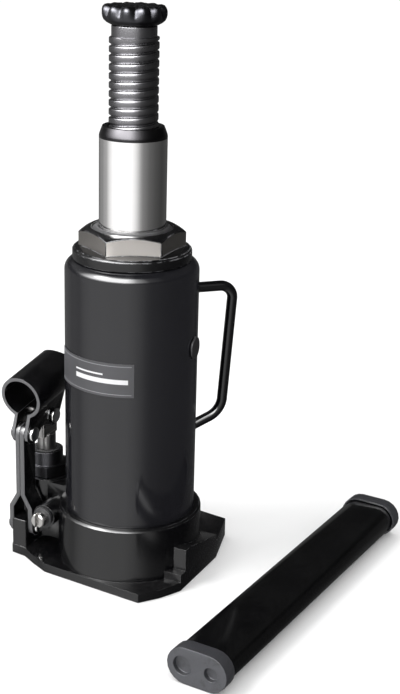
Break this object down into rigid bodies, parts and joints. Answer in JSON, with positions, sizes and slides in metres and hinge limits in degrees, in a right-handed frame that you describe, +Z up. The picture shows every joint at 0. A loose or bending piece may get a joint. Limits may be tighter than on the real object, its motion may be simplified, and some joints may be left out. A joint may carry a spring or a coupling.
{
  "type": "hydraulic bottle jack",
  "caption": "Hydraulic bottle jack with extending ram and screw, side pump linkage, carrying handle, and a two-piece pump handle stored in a capped oval case.",
  "frame": {"origin": "on the floor, on the underside of the base, under the ram's axis", "axes": "+Z up along the ram; the pump is on the -X side; the label and the mouth of the handle socket face -Y"},
  "size_m": [0.2193, 0.2339, 0.3425],
  "materials": {
    "cast_black": "glossy black enamel over a cast surface",
    "gloss_black": "smooth gloss black enamel",
    "sleeve_gloss": "gloss black extrusion",
    "polished_steel": "ground and polished",
    "plain_steel": "machined",
    "dark_steel": "black phosphate, satin",
    "zinc": "bright zinc plate",
    "rubber": "moulded, dull",
    "plastic": "moulded, matt dark grey",
    "label": "blank satin dark grey"
  },
  "bodies": {
    "jack_body": {"base": "cast_black", "reservoir_tube": "gloss_black", "pressure_cylinder": "dark_steel", "cylinder_gasket": "rubber", "reservoir_gasket": "rubber", "gland_nut": "gloss_black", "gland_seal": "rubber", "ram_wiper": "rubber", "pump_barrel": "dark_steel", "plunger_seal": "rubber", "suction_ball": "plain_steel", "delivery_ball": "plain_steel", "release_ball": "plain_steel", "lug_pin": "zinc", "lug_pin_clip": "dark_steel", "carry_handle": "gloss_black", "label_plate": "label"},
    "ram": {"ram": "polished_steel", "piston_backup_washer": "plain_steel", "piston_cup_seal": "rubber", "piston_nut": "dark_steel"},
    "screw_stop": {"screw_stop_washer": "dark_steel"},
    "screw": {"extension_screw": "dark_steel", "saddle": "dark_steel"},
    "link": {"link_left": "gloss_black", "link_right": "gloss_black"},
    "socket": {"handle_socket": "gloss_black", "link_pin": "zinc", "link_pin_clip": "dark_steel", "plunger_pin": "zinc", "plunger_pin_clip": "dark_steel"},
    "plunger": {"plunger": "plain_steel"},
    "release_valve": {"release_valve": "zinc", "release_valve_seal": "rubber"},
    "filler_plug": {"oil_filler_plug": "rubber"},
    "case_sleeve": {"case_sleeve": "sleeve_gloss"},
    "case_cap_near": {"case_cap_near": "plastic"},
    "case_cap_far": {"case_cap_far": "plastic"},
    "handle_tube": {"handle_tube": "dark_steel"},
    "handle_rod": {"handle_rod": "dark_steel"}
  },
  "joints": [
    {"name": "ram_slide", "type": "slide", "parent": "jack_body", "child": "ram", "axis": [0, 0, 1], "range_m": [-0.054, 0.096]},
    {"name": "screw_lift", "type": "slide", "parent": "ram", "child": "screw_stop", "axis": [0, 0, 1], "range_m": [-0.0557, 0.0272]},
    {"name": "screw_turn", "type": "hinge", "parent": "screw_stop", "child": "screw", "pos_m": [0, 0, 0.3], "axis": [0, 0, 1], "range_deg": [-4010, 1944]},
    {"name": "link_rock", "type": "hinge", "parent": "jack_body", "child": "link", "pos_m": [-0.0634, -0.021, 0.018], "axis": [1, 0, 0], "range_deg": [-1.6, 1.6]},
    {"name": "socket_swing", "type": "hinge", "parent": "link", "child": "socket", "pos_m": [-0.0634, -0.021, 0.08], "axis": [1, 0, 0], "range_deg": [-20, 20]},
    {"name": "plunger_slide", "type": "slide", "parent": "jack_body", "child": "plunger", "axis": [0, 0, 1], "range_m": [-0.0085, 0.0085]},
    {"name": "release_valve_turn", "type": "hinge", "parent": "jack_body", "child": "release_valve", "pos_m": [-0.046, -0.0277, 0.029], "axis": [0, -1, 0], "range_deg": [0, 360]},
    {"name": "filler_plug_pull", "type": "slide", "parent": "jack_body", "child": "filler_plug", "axis": [0.9925, 0.1219, 0], "range_m": [0, 0.03]},
    {"name": "case_lift", "type": "slide", "parent": "jack_body", "child": "case_sleeve", "axis": [0, 0, 1], "range_m": [0, 0.25]},
    {"name": "cap_near_pull", "type": "slide", "parent": "case_sleeve", "child": "case_cap_near", "axis": [-0.0785, -0.9969, 0], "range_m": [0, 0.24]},
    {"name": "cap_far_pull", "type": "slide", "parent": "case_sleeve", "child": "case_cap_far", "axis": [0.0785, 0.9969, 0], "range_m": [0, 0.04]},
    {"name": "handle_tube_draw", "type": "slide", "parent": "case_sleeve", "child": "handle_tube", "axis": [-0.0785, -0.9969, 0], "range_m": [0, 0.205]},
    {"name": "handle_rod_draw", "type": "slide", "parent": "case_sleeve", "child": "handle_rod", "axis": [-0.0785, -0.9969, 0], "range_m": [0, 0.16]}
  ],
  "couplings": [
    {"joint": "screw_lift", "follows": "screw_turn", "m_per_rad": 0.00079577},
    {"joint": "link_rock", "follows": "socket_swing", "ratio": -0.063},
    {"joint": "plunger_slide", "follows": "socket_swing", "m_per_rad": 0.023},
    {"joint": "handle_tube_draw", "follows": "cap_near_pull", "ratio": 0.85},
    {"joint": "handle_rod_draw", "follows": "cap_near_pull", "ratio": 0.65}
  ]
}
